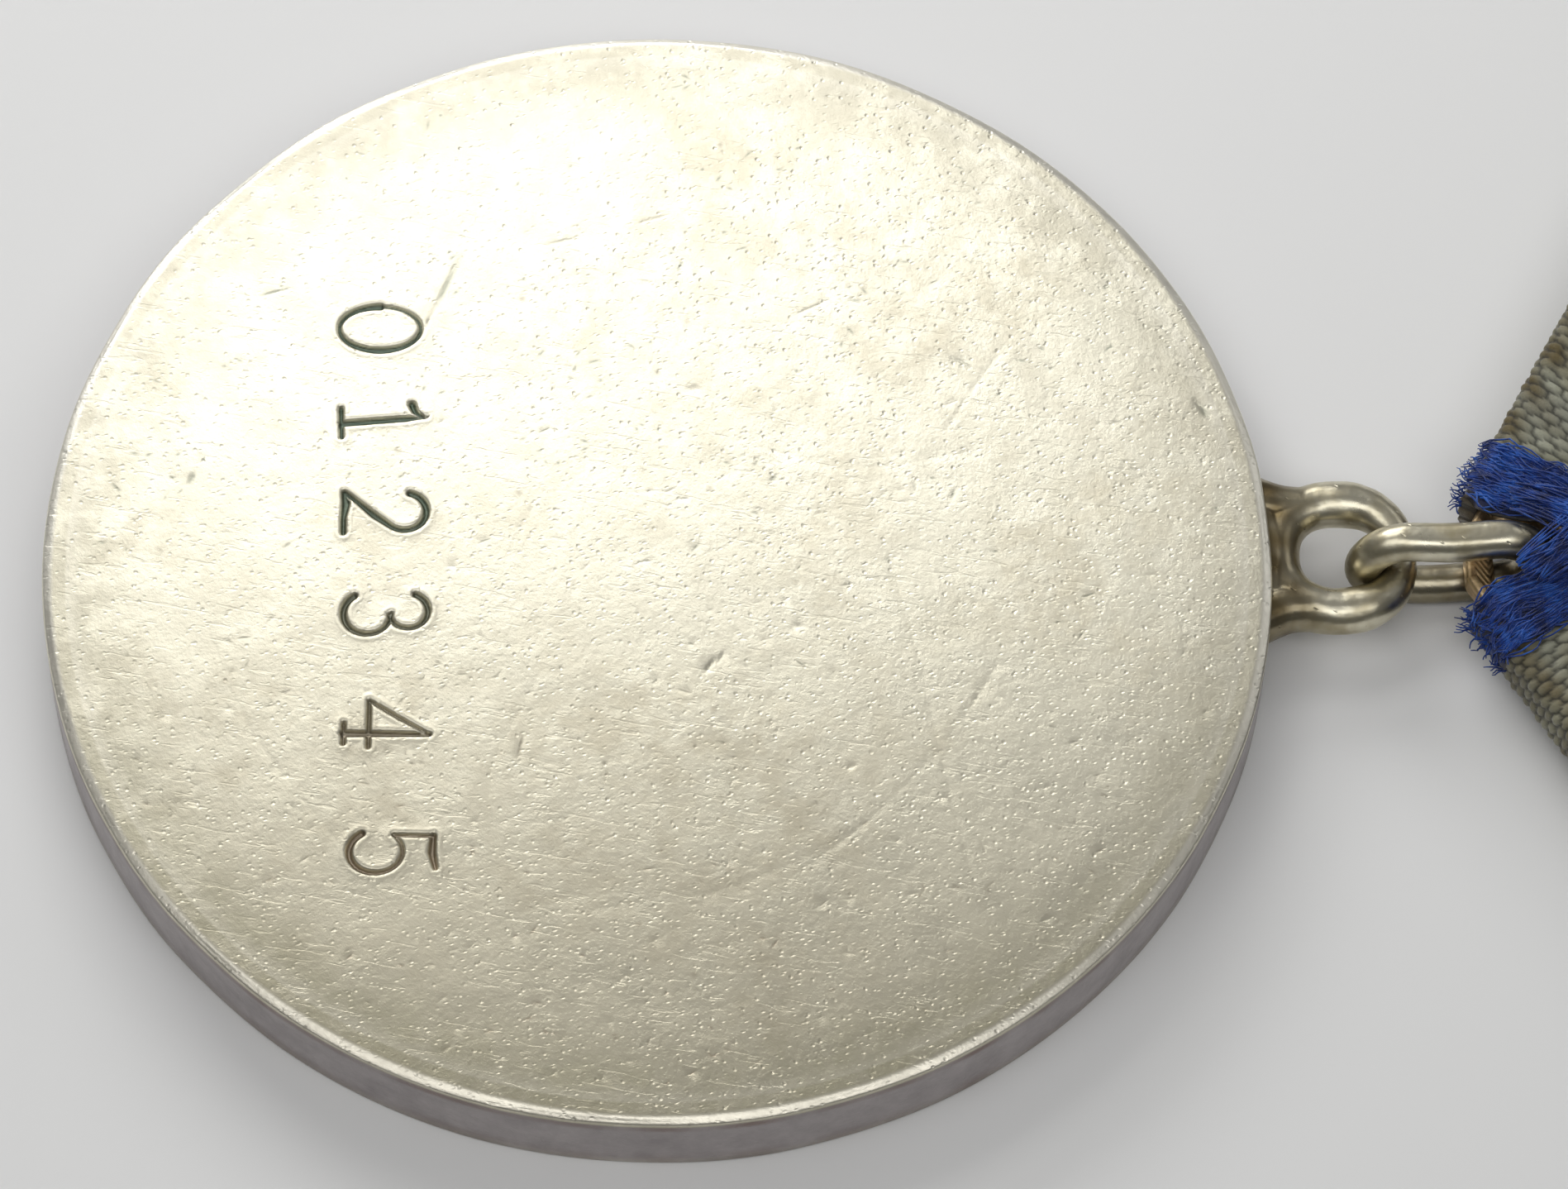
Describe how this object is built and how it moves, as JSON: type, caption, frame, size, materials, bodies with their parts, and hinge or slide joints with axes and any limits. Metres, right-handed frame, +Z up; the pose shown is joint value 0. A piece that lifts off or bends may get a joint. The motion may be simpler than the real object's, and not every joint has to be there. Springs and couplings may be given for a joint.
{
  "type": "medal",
  "caption": "Round silver medal, face down, with a soldered wire eyelet and an oval connecting ring on a pentagonal plate dressed in folded ribbon, with a brooch pin behind.",
  "frame": {"origin": "under the middle of the medal's and mount's whole length, on the surface they lie on", "axes": "+X from the disc to the top of the ribbon mount, +Z up out of the disc's reverse"},
  "size_m": [0.094, 0.0458, 0.0049],
  "materials": {
    "silver": "worn and lightly scratched silver",
    "toned_silver": "polished by wear, toned olive",
    "brass": "rolled sheet, lightly toned",
    "steel": "drawn wire",
    "ribbon": "ribbed grey weave with a dark blue stripe at each edge"
  },
  "bodies": {
    "mount": {"mount_plate": "brass", "ribbon_band": "ribbon", "ribbon_wing_left": "ribbon", "ribbon_wing_right": "ribbon", "pin_bracket": "brass", "pin_axle": "steel", "pin_catch": "brass"},
    "ring": {"connecting_ring": "toned_silver"},
    "medal": {"medal_disc": "silver", "eyelet": "toned_silver"},
    "pin": {"pin_needle": "steel"}
  },
  "joints": [
    {"name": "ring_swing", "type": "hinge", "parent": "mount", "child": "ring", "pos_m": [-0.00365, 0, 0.00177], "axis": [0, 1, 0], "range_deg": [-80, 80]},
    {"name": "medal_swing", "type": "hinge", "parent": "ring", "child": "medal", "pos_m": [-0.006, 0, 0.00172], "axis": [0, 1, 0], "range_deg": [-80, 80]},
    {"name": "pin_open", "type": "hinge", "parent": "mount", "child": "pin", "pos_m": [0.03392, 0.0105, 0.00392], "axis": [-1, 0, 0], "range_deg": [0, 100]}
  ]
}
